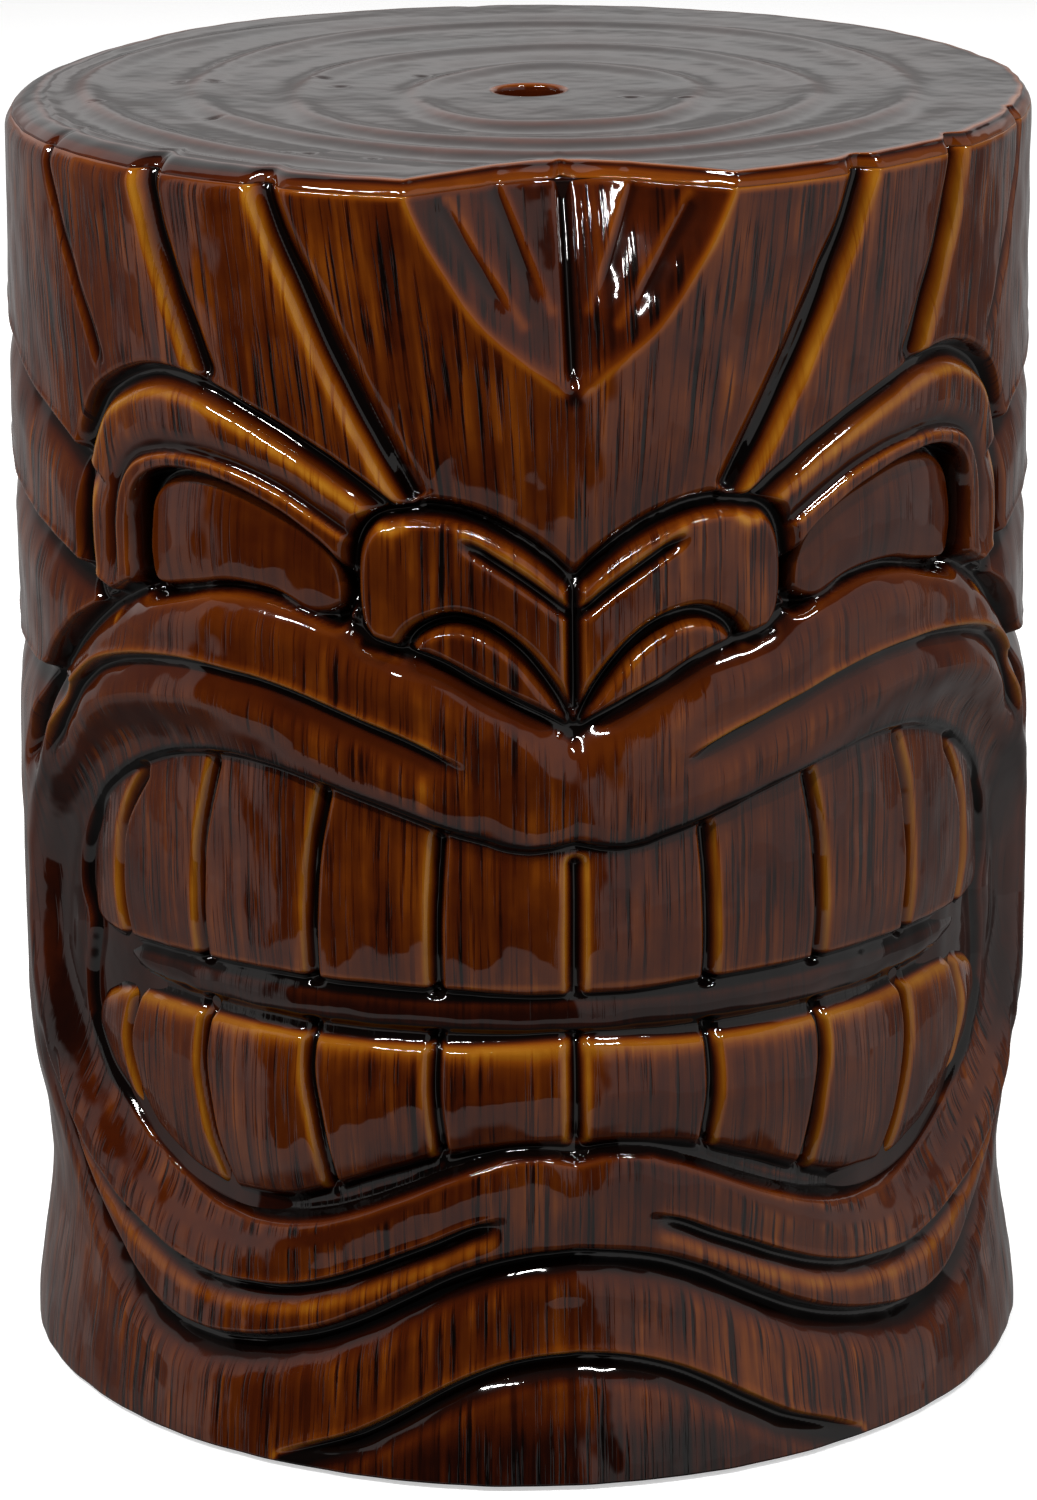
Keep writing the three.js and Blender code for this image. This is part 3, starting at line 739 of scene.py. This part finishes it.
# ---------------------------------------------------------------- materials
def add(tree, kind, inputs=(), **settings):
    """A new shader node. Each of its inputs is given a value, or a socket to link it to."""
    node = tree.nodes.new("ShaderNode" + kind)
    for name, value in settings.items():
        setattr(node, name, value)
    for key, value in dict(inputs).items():
        if isinstance(value, bpy.types.NodeSocket):
            tree.links.new(value, node.inputs[key])
        else:
            node.inputs[key].default_value = value
    return node


def remap(tree, value, low, high, to_low=0.0, to_high=1.0):
    """A smooth step from to_low to to_high as the value goes from low to high."""
    node = add(tree, "MapRange", {"Value": value, "From Min": low, "From Max": high, "To Min": to_low,
                                  "To Max": to_high}, interpolation_type="SMOOTHSTEP")
    return node.outputs["Result"]


def maths(tree, operation, first, second=0.0, third=0.0):
    node = add(tree, "Math", {0: first, 1: second, 2: third}, operation=operation)
    return node.outputs[0]


def noise(tree, vector, scale, detail=2.0, roughness=0.5):
    node = add(tree, "TexNoise", {"Vector": vector, "Scale": scale, "Detail": detail,
                                  "Roughness": roughness})
    return node.outputs["Fac"]


def stroke_noise(tree, place, scale, detail, roughness=0.5):
    """Noise with a scale of its own on each axis, so that it is drawn out into strokes."""
    stretched = add(tree, "Mapping", {"Vector": place, "Scale": scale}).outputs["Vector"]
    return noise(tree, stretched, 1.0, detail, roughness)


def colour_ramp(tree, factor, stops):
    node = add(tree, "ValToRGB", {"Fac": factor})
    elements = node.color_ramp.elements
    elements[0].position, elements[0].color = stops[0][0], (*stops[0][1], 1)
    elements[1].position, elements[1].color = stops[-1][0], (*stops[-1][1], 1)
    for position, colour in stops[1:-1]:
        elements.new(position).color = (*colour, 1)
    return node.outputs["Color"]


# what the glaze looks like from its thinnest (0) to its thickest
GLAZE_STOPS = (
    (0.00, (0.36, 0.15, 0.012)),
    (0.14, (0.24, 0.078, 0.004)),
    (0.28, (0.165, 0.038, 0.0018)),
    (0.42, (0.092, 0.0175, 0.001)),
    (0.56, (0.046, 0.0066, 0.0007)),
    (0.72, (0.013, 0.0020, 0.0006)),
    (0.90, (0.0022, 0.0010, 0.0008)),
)
# noise across the strokes, across them again, and along them
FINE_STROKES = (640, 640, 17)
BROAD_STROKES = (300, 300, 13)
STROKE_PATCHES = (60, 60, 36)
MOTTLE = 0.34  # how much the thickness varies from place to place
GLAZE_IOR = 1.52
GLAZE_ROUGHNESS = (0.035, 0.075)
WAVE_HEIGHT = 0.0009
STROKE_DIP = 0.13  # as a share of the waves


def new_material(name):
    mat = bpy.data.materials.new(name)
    mat.use_nodes = True
    return mat, mat.node_tree, mat.node_tree.nodes["Principled BSDF"]


def glaze_material(name):
    mat, tree, shader = new_material(name)
    # the glaze thickness attribute also carries the painted shade and the painted shadow under the chin
    glaze = add(tree, "Attribute", attribute_name="glaze").outputs["Fac"]
    amount = add(tree, "Attribute", attribute_name="grain_amount").outputs["Fac"]
    place = add(tree, "Attribute", attribute_name="grain_place").outputs["Vector"]
    solid = add(tree, "TexCoord").outputs["Object"]
    # chisel strokes: fine dark lines over broader light and dark ones, broken up by patches
    fine = stroke_noise(tree, place, FINE_STROKES, 3, 0.6)
    broad = stroke_noise(tree, place, BROAD_STROKES, 2)
    patches = stroke_noise(tree, place, STROKE_PATCHES, 2)
    mottle = noise(tree, solid, 28.0, detail=4, roughness=0.6)
    cut_here = remap(tree, patches, 0.36, 0.6, 0.3, 1.0)
    dark_strokes = remap(tree, fine, 0.5, 0.66)
    strokes = maths(tree, "MULTIPLY_ADD", dark_strokes, 0.42, maths(tree, "MULTIPLY_ADD", broad, 0.85, -0.5))
    strokes = maths(tree, "MULTIPLY", strokes, cut_here)
    thickness = maths(tree, "ADD", glaze, maths(tree, "MULTIPLY", strokes, amount))
    thickness = maths(tree, "MULTIPLY_ADD", mottle, MOTTLE, maths(tree, "SUBTRACT", thickness, MOTTLE / 2))
    tree.links.new(colour_ramp(tree, thickness, GLAZE_STOPS), shader.inputs["Base Color"])
    # the melted surface: slow waves, and a slight dip along each stroke
    waves = noise(tree, solid, 26.0, detail=1)
    ripples = noise(tree, solid, 110.0, detail=1)
    relief = maths(tree, "MULTIPLY_ADD", ripples, 0.2, waves)
    dips = maths(tree, "MULTIPLY", maths(tree, "MULTIPLY", dark_strokes, cut_here), amount)
    relief = maths(tree, "MULTIPLY_ADD", dips, -STROKE_DIP, relief)
    bump = add(tree, "Bump", {"Height": relief, "Strength": 1.0, "Distance": WAVE_HEIGHT})
    tree.links.new(bump.outputs["Normal"], shader.inputs["Normal"])
    gloss = noise(tree, solid, 60.0, detail=3)
    tree.links.new(remap(tree, gloss, 0.3, 0.8, *GLAZE_ROUGHNESS), shader.inputs["Roughness"])
    shader.inputs["IOR"].default_value = GLAZE_IOR
    return mat


def dull_material(name, colour, dark, grain_scale, roughness):
    """Bare clay or rubber: cloudy between two colours, with a fine tooth."""
    mat, tree, shader = new_material(name)
    solid = add(tree, "TexCoord").outputs["Object"]
    speckle = noise(tree, solid, grain_scale, detail=5, roughness=0.65)
    cloud = noise(tree, solid, grain_scale / 14, detail=2)
    mixed = maths(tree, "MULTIPLY_ADD", cloud, 0.5, maths(tree, "MULTIPLY", speckle, 0.5))
    tree.links.new(colour_ramp(tree, mixed, ((0.3, dark), (0.7, colour))), shader.inputs["Base Color"])
    bump = add(tree, "Bump", {"Height": speckle, "Strength": 0.4, "Distance": 0.0004})
    tree.links.new(bump.outputs["Normal"], shader.inputs["Normal"])
    rough = remap(tree, speckle, 0.2, 0.8, roughness - 0.08, roughness + 0.08)
    tree.links.new(rough, shader.inputs["Roughness"])
    return mat


# ---------------------------------------------------------------- stage, light and camera
CAMERA_PLACE = Vector((-181.5, -1851.5, 762.1)) * MM
CAMERA_AIM = 5.552  # degrees from +Y towards +X
CAMERA_PITCH = 16.755
CAMERA_ROLL = -0.485
LENS = 134.2
SENSOR = 36.0

# lamps: azimuths from the mask's front towards its left hand, elevation, distance, size and power
SPARKLES = (
    ("left_lamp", (-66, -57, -48, -39, -30), 47, 2.3, (0.17, 0.07), 8),
    ("right_lamp", (22, 30, 38), 58, 2.4, (0.14, 0.07), 8),
)
FILLS = (("fill_left", -80, 20), ("fill_right", 70, 20), ("fill_back", 180, 35))
FILL_DISTANCE = 2.6
FILL_SIZE = (1.4, 1.2)
FILL_POWER = 20
LAMPS_AIM = Vector((0, 0, 0.22))

# how bright each part of the studio is, as the glaze reflects it
SOFT_BOX = 0.5
DARK_GAP = 0.02
BEHIND_BOXES = 0.14
CEILING = 0.05
BACK_WALL = (0.3, 0.74)  # low down and higher up
TABLE = (0.42, 0.2, 0.07)  # in front, behind and close under the drum
WORLD_COLOUR = (1.0, 0.985, 0.98, 1)
FLOOR_REACH = 6.0
FLOOR_COLOUR = (0.8, 0.8, 0.8, 1)
FLOOR_GLOW = 0.5


def make_camera():
    aim, pitch, roll = map(math.radians, (CAMERA_AIM, CAMERA_PITCH, CAMERA_ROLL))
    forward = Vector((math.sin(aim) * math.cos(pitch), math.cos(aim) * math.cos(pitch), -math.sin(pitch)))
    level = Vector((math.cos(aim), -math.sin(aim), 0.0))
    right = level * math.cos(roll) + level.cross(forward) * math.sin(roll)
    up = right.cross(forward)
    data = bpy.data.cameras.new("camera")
    data.lens = LENS
    data.sensor_width = SENSOR
    data.clip_end = 50.0
    camera = link("camera", data)
    turned = Matrix((right, up, -forward)).transposed().to_4x4()
    camera.matrix_world = Matrix.Translation(CAMERA_PLACE) @ turned
    bpy.context.scene.camera = camera


def lamp(name, azimuth, elevation, distance, size, power):
    """A soft lamp aimed at the drum."""
    a, e = math.radians(azimuth), math.radians(elevation)
    back = Vector((math.sin(a) * math.cos(e), -math.cos(a) * math.cos(e), math.sin(e)))
    data = bpy.data.lights.new(name, "AREA")
    data.shape = "RECTANGLE"
    data.size, data.size_y = size
    data.energy = power
    light = link(name, data)
    light.location = LAMPS_AIM + back * distance
    light.rotation_euler = back.to_track_quat("Z", "Y").to_euler()
    return light


def blend(tree, factor, first, second):
    node = add(tree, "Mix", {0: factor, 2: first, 3: second}, data_type="FLOAT")
    return node.outputs[0]


def make_world():
    """A white studio: a pale table, two tall soft boxes with a dark gap between, a pale wall behind."""
    world = bpy.data.worlds.new("studio")
    bpy.context.scene.world = world
    world.use_nodes = True
    tree = world.node_tree
    direction = add(tree, "TexCoord").outputs["Generated"]
    parts = add(tree, "SeparateXYZ", {"Vector": direction}).outputs
    away = maths(tree, "MULTIPLY", parts["Y"], -1.0)
    azimuth = maths(tree, "DEGREES", maths(tree, "ARCTAN2", parts["X"], away))
    turned = maths(tree, "ABSOLUTE", azimuth)
    elevation = maths(tree, "DEGREES", maths(tree, "ARCSINE", parts["Z"]))
    gap = maths(tree, "MULTIPLY", remap(tree, azimuth, -83.0, -79.0), remap(tree, azimuth, 12.0, 8.0))
    boxes = blend(tree, gap, SOFT_BOX, DARK_GAP)
    boxes = blend(tree, remap(tree, turned, 99.0, 101.0), boxes, BEHIND_BOXES)
    boxes = blend(tree, remap(tree, elevation, 44.0, 46.0), boxes, CEILING)
    wall = blend(tree, remap(tree, elevation, 6.0, 14.0), *BACK_WALL)
    upper = blend(tree, remap(tree, turned, 128.0, 132.0), boxes, wall)
    table = blend(tree, remap(tree, turned, 90.0, 120.0), TABLE[0], TABLE[1])
    table = blend(tree, remap(tree, elevation, -40.0, -46.0), table, TABLE[2])
    table_edge = blend(tree, gap, -16.5, -27.0)
    past_edge = remap(tree, maths(tree, "SUBTRACT", elevation, table_edge), -0.5, 0.5)
    radiance = blend(tree, past_edge, table, upper)
    # the backdrop itself is plain white
    seen = add(tree, "LightPath").outputs["Is Camera Ray"]
    background = tree.nodes["Background"]
    background.inputs["Color"].default_value = WORLD_COLOUR
    tree.links.new(blend(tree, seen, radiance, 1.0), background.inputs["Strength"])


def make_floor():
    r = FLOOR_REACH
    floor = mesh_from("floor", [(-r, -r, 0), (r, -r, 0), (r, r, 0), (-r, r, 0)], np.array([[0, 1, 2, 3]]))
    obj = link("floor", floor)
    mat, _, shader = new_material("floor")
    shader.inputs["Base Color"].default_value = FLOOR_COLOUR
    shader.inputs["Roughness"].default_value = 0.9
    shader.inputs["Emission Color"].default_value = (1, 1, 1, 1)
    shader.inputs["Emission Strength"].default_value = FLOOR_GLOW
    obj.data.materials.append(mat)
    # the glaze reflects the studio's table, not this floor
    obj.visible_glossy = False
    obj.visible_diffuse = False


def make_lamps():
    for name, azimuths, elevation, distance, size, power in SPARKLES:
        for number, azimuth in enumerate(azimuths):
            lamp(f"{name}_{number}", azimuth, elevation, distance, size, power)
    for name, azimuth, elevation in FILLS:
        fill = lamp(name, azimuth, elevation, FILL_DISTANCE, FILL_SIZE, FILL_POWER)
        fill.visible_glossy = False


# ---------------------------------------------------------------- the scene
bpy.context.scene.view_settings.view_transform = "Standard"
make_camera()
make_world()
make_floor()
make_lamps()

wall, wall_top = drum_wall()
wall.data.materials.append(glaze_material("brown_glaze"))
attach(wall, "root")
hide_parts("drum_wall")

seat_piece = seat(wall_top)
seat_piece.data.materials.append(glaze_material("seat_glaze"))
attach(seat_piece, "root")
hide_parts("seat_slab")

# the pieces that are shown as their own CAD meshes
bare_clay = dull_material("bare_clay", (0.62, 0.5, 0.38), (0.42, 0.31, 0.21), 900.0, 0.85)
pad_rubber = dull_material("pad_rubber", (0.05, 0.05, 0.052), (0.02, 0.02, 0.02), 1500.0, 0.7)
for names, material in (
    (("seam_coil", "foot_ring"), bare_clay),
    (("foot_pad_1", "foot_pad_2", "foot_pad_3", "foot_pad_4"), pad_rubber),
):
    for name in names:
        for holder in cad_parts[name].material_slots:
            holder.material = material
